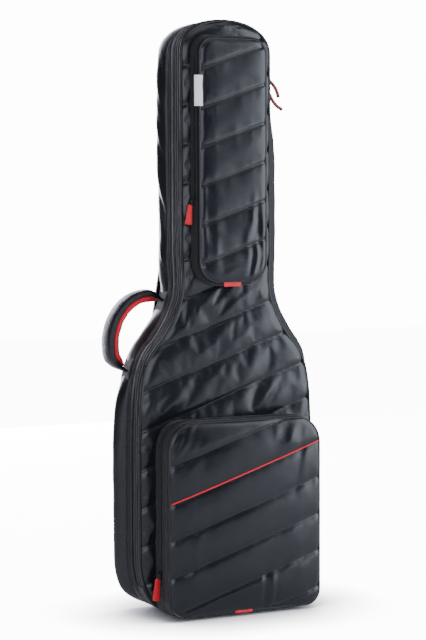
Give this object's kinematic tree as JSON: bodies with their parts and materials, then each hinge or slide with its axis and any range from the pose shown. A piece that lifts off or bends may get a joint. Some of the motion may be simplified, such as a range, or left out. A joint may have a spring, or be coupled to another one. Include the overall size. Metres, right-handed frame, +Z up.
{
  "type": "padded gig bag",
  "caption": "Upright padded guitar bag with a zipped book-opening lid, quilted front, two zipped front pockets, a side handle and back straps.",
  "frame": {"origin": "middle of the base, on the flat bottom of the wear guard that the bag stands on, half way through the body's depth", "axes": "+Z up along the bag, +Y towards the back with the shoulder straps, +X to the right seen from the front"},
  "size_m": [0.3787, 0.1698, 1.0618],
  "materials": {
    "nylon": "black coated woven nylon, slightly glossy",
    "zip_tape": "black ribbed zip tape and chain",
    "webbing": "black woven webbing",
    "lining": "dark grey brushed lining",
    "guard_rubber": "textured black rubberised patch",
    "buckle_plastic": "black moulded acetal",
    "red_trim": "red fabric and ribbon",
    "label_cloth": "white woven label",
    "dark_metal": "black enamelled metal"
  },
  "bodies": {
    "back": {"back_panel": "nylon", "back_gusset": "nylon", "back_lining": "lining", "back_piping": "nylon", "back_zip": "zip_tape", "hinge_strip": "nylon", "base_guard": "guard_rubber", "neck_rest": "lining", "neck_strap": "webbing", "tail_bumper": "lining", "strap_yoke": "nylon", "strap_pad_left": "nylon", "strap_pad_right": "nylon", "webbing_left": "webbing", "webbing_right": "webbing", "buckle_left": "buckle_plastic", "buckle_right": "buckle_plastic", "webbing_patch_left": "nylon", "webbing_patch_right": "nylon", "handle_patch_top": "nylon", "handle_patch_bottom": "nylon"},
    "handle": {"handle_cover": "nylon", "handle_pad": "red_trim", "handle_tab_top": "nylon", "handle_tab_bottom": "nylon"},
    "lid": {"lid_panel": "nylon", "lid_gusset": "nylon", "lid_lining": "lining", "lid_piping": "nylon", "lid_zip": "zip_tape", "lid_guard": "guard_rubber", "upper_pocket_base": "nylon", "upper_zip_base": "zip_tape", "lower_pocket_base": "nylon", "lower_pocket_floor": "nylon", "lower_zip_base": "zip_tape"},
    "upper_flap": {"upper_pocket_wall": "nylon", "upper_zip_front": "zip_tape", "upper_pocket_front": "nylon", "upper_pocket_piping": "nylon", "label": "label_cloth", "upper_ribbon": "red_trim"},
    "lower_flap": {"lower_pocket_wall": "nylon", "lower_zip_front": "zip_tape", "lower_pocket_front": "nylon", "lower_pocket_piping": "nylon", "lower_ribbon": "red_trim", "accent_piping": "red_trim"},
    "high_slider": {"main_slider_high": "dark_metal"},
    "high_pull": {"main_high_bail": "dark_metal", "main_high_pull": "red_trim"},
    "low_slider": {"main_slider_low": "dark_metal"},
    "low_pull": {"main_low_bail": "dark_metal", "main_low_pull": "red_trim"},
    "upper_slider": {"upper_slider": "dark_metal"},
    "upper_pull": {"upper_bail": "dark_metal", "upper_pull": "red_trim"},
    "lower_slider": {"lower_slider": "dark_metal"},
    "lower_pull": {"lower_bail": "dark_metal", "lower_pull": "red_trim"}
  },
  "joints": [
    {"name": "lid_swing", "type": "hinge", "parent": "back", "child": "lid", "pos_m": [0.1763, -0.016, 0.205], "axis": [0, 0, 1], "range_deg": [0, 165]},
    {"name": "lower_flap_fold", "type": "hinge", "parent": "lid", "child": "lower_flap", "pos_m": [0.008, -0.106, 0.006], "axis": [1, 0, 0], "range_deg": [0, 85]},
    {"name": "upper_flap_gape", "type": "hinge", "parent": "lid", "child": "upper_flap", "pos_m": [0.071, -0.062, 0.809], "axis": [0, 0, 1], "range_deg": [0, 15]},
    {"name": "handle_swing", "type": "hinge", "parent": "back", "child": "handle", "pos_m": [-0.1066, 0.024, 0.56297], "axis": [-0.4967, 0, -0.8679], "range_deg": [-25, 25], "stiffness_Nm_per_rad": 0.5},
    {"name": "high_slider_travel", "type": "slide", "parent": "back", "child": "high_slider", "axis": [0, 0, 1], "range_m": [0, 0.027]},
    {"name": "low_slider_travel", "type": "slide", "parent": "back", "child": "low_slider", "axis": [0, 0, 1], "range_m": [-0.285, 0]},
    {"name": "upper_slider_travel", "type": "slide", "parent": "lid", "child": "upper_slider", "axis": [0, 0, 1], "range_m": [0, 0.238]},
    {"name": "lower_slider_travel", "type": "slide", "parent": "lid", "child": "lower_slider", "axis": [0, 0, 1], "range_m": [0, 0.21]},
    {"name": "high_pull_swing", "type": "hinge", "parent": "high_slider", "child": "high_pull", "pos_m": [0.0963, -0.0135, 0.96692], "axis": [0, -1, 0], "range_deg": [0, 110]},
    {"name": "low_pull_swing", "type": "hinge", "parent": "low_slider", "child": "low_pull", "pos_m": [0.0963, -0.0185, 0.94092], "axis": [0, -1, 0], "range_deg": [0, 110]},
    {"name": "upper_pull_swing", "type": "hinge", "parent": "upper_slider", "child": "upper_pull", "pos_m": [-0.07809, -0.062, 0.74192], "axis": [0, 1, 0], "range_deg": [0, 120]},
    {"name": "lower_pull_swing", "type": "hinge", "parent": "lower_slider", "child": "lower_pull", "pos_m": [-0.1498, -0.074, 0.08592], "axis": [0, 1, 0], "range_deg": [0, 120]}
  ]
}
